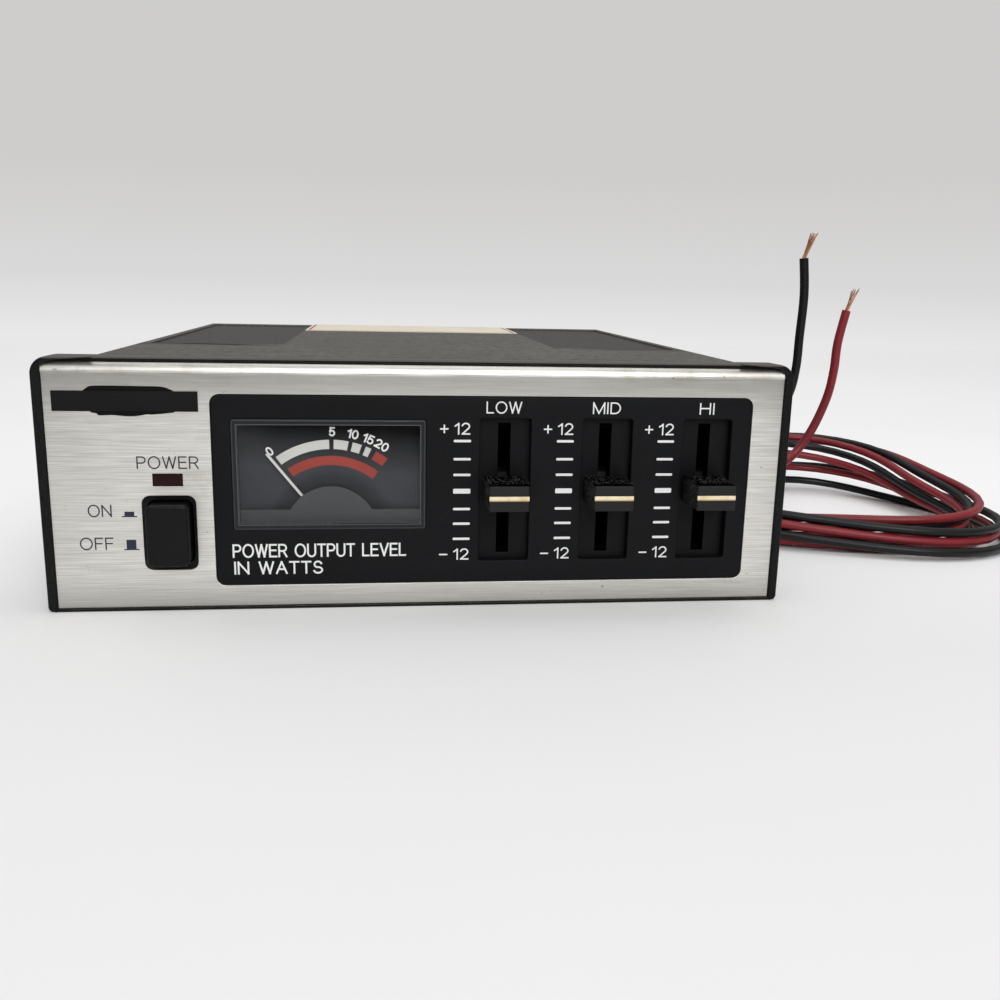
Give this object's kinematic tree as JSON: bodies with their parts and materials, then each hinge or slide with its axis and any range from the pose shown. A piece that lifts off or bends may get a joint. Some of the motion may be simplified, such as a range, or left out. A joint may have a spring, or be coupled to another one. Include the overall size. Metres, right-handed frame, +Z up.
{
  "type": "car equalizer amplifier",
  "caption": "Under-dash car equalizer amplifier: a steel box with a brushed front plate, level meter, tone sliders, push switch and a loose hank of supply leads.",
  "frame": {"origin": "middle of the base of the unit without its leads", "axes": "+X right as seen from the front, +Y from the front to the rear, +Z up"},
  "size_m": [0.2371, 0.1674, 0.0804],
  "materials": {
    "frame_black": "satin moulded",
    "face_aluminium": "brushed along its length",
    "badge_black": "gloss",
    "panel_black": "satin",
    "lens_clear": "clear",
    "meter_dark": "satin",
    "dial_face": "matt print",
    "magnet_grey": "ground",
    "winding_copper": "enamelled",
    "needle_white": "matt",
    "zinc_plate": "zinc plated",
    "knob_black": "satin",
    "line_cream": "matt print",
    "switch_black": "satin",
    "plunger_white": "satin",
    "spring_steel": "bright",
    "lamp_red": "clear red, unlit",
    "board_brown": "bare laminate",
    "standoff_brass": "turned",
    "ribbon_grey": "satin",
    "capacitor_blue": "sleeved",
    "chip_black": "matt",
    "bracket_aluminium": "mill",
    "case_charcoal": "fine textured paint",
    "label_cream": "matt",
    "grommet_rubber": "matt",
    "screw_black": "black oxide",
    "lead_black": "soft plastic sleeve",
    "lead_red": "soft plastic sleeve",
    "strand_copper": "bare strands"
  },
  "bodies": {
    "amplifier": {"front_frame": "frame_black", "face_plate": "face_aluminium", "badge_strip": "badge_black", "control_panel": "panel_black", "meter_lens": "lens_clear", "meter_mask": "dial_face", "meter_dial": "dial_face", "meter_case": "meter_dark", "meter_back": "meter_dark", "meter_magnet": "magnet_grey", "meter_strap": "zinc_plate", "slide_pot_low": "zinc_plate", "slide_pot_mid": "zinc_plate", "slide_pot_hi": "zinc_plate", "switch_body": "switch_black", "power_led": "lamp_red", "led_board": "board_brown", "front_board": "board_brown", "main_board": "board_brown", "board_standoffs": "standoff_brass", "ribbon_cable": "ribbon_grey", "filter_capacitors": "capacitor_blue", "supply_choke": "winding_copper", "output_chips": "chip_black", "heat_bracket": "bracket_aluminium", "chassis": "case_charcoal", "top_cover": "case_charcoal", "bracket_nuts": "zinc_plate", "top_label": "label_cream", "lead_grommet": "grommet_rubber", "speaker_grommet": "grommet_rubber", "front_screws": "zinc_plate", "board_screws": "zinc_plate", "cover_screws": "screw_black", "black_lead_tail": "lead_black", "black_lead_hank": "lead_black", "black_lead_end": "lead_black", "black_lead_tip": "strand_copper", "red_lead_tail": "lead_red", "red_lead_hank": "lead_red", "red_lead_end": "lead_red", "red_lead_tip": "strand_copper"},
    "slider_low": {"slider_lever_low": "zinc_plate", "slider_knob_low": "knob_black", "knob_line_low": "line_cream"},
    "slider_mid": {"slider_lever_mid": "zinc_plate", "slider_knob_mid": "knob_black", "knob_line_mid": "line_cream"},
    "slider_hi": {"slider_lever_hi": "zinc_plate", "slider_knob_hi": "knob_black", "knob_line_hi": "line_cream"},
    "power_button": {"button_cap": "switch_black", "switch_plunger": "plunger_white", "button_spring": "spring_steel"},
    "meter_pointer": {"meter_coil": "winding_copper", "meter_needle": "needle_white"}
  },
  "joints": [
    {"name": "low_slide", "type": "slide", "parent": "amplifier", "child": "slider_low", "axis": [0, 0, 1], "range_m": [-0.01, 0.01]},
    {"name": "mid_slide", "type": "slide", "parent": "amplifier", "child": "slider_mid", "axis": [0, 0, 1], "range_m": [-0.01, 0.01]},
    {"name": "hi_slide", "type": "slide", "parent": "amplifier", "child": "slider_hi", "axis": [0, 0, 1], "range_m": [-0.01, 0.01]},
    {"name": "power_push", "type": "slide", "parent": "amplifier", "child": "power_button", "axis": [0, 1, 0], "range_m": [0, 0.003], "stiffness_N_per_m": 300, "springref_m": -0.002, "deforming": ["button_spring"]},
    {"name": "needle_swing", "type": "hinge", "parent": "amplifier", "child": "meter_pointer", "pos_m": [-0.0196, -0.06315, 0.0152], "axis": [0, 1, 0], "range_deg": [0, 77], "stiffness_Nm_per_rad": 0.00001, "springref_deg": -11.46}
  ]
}
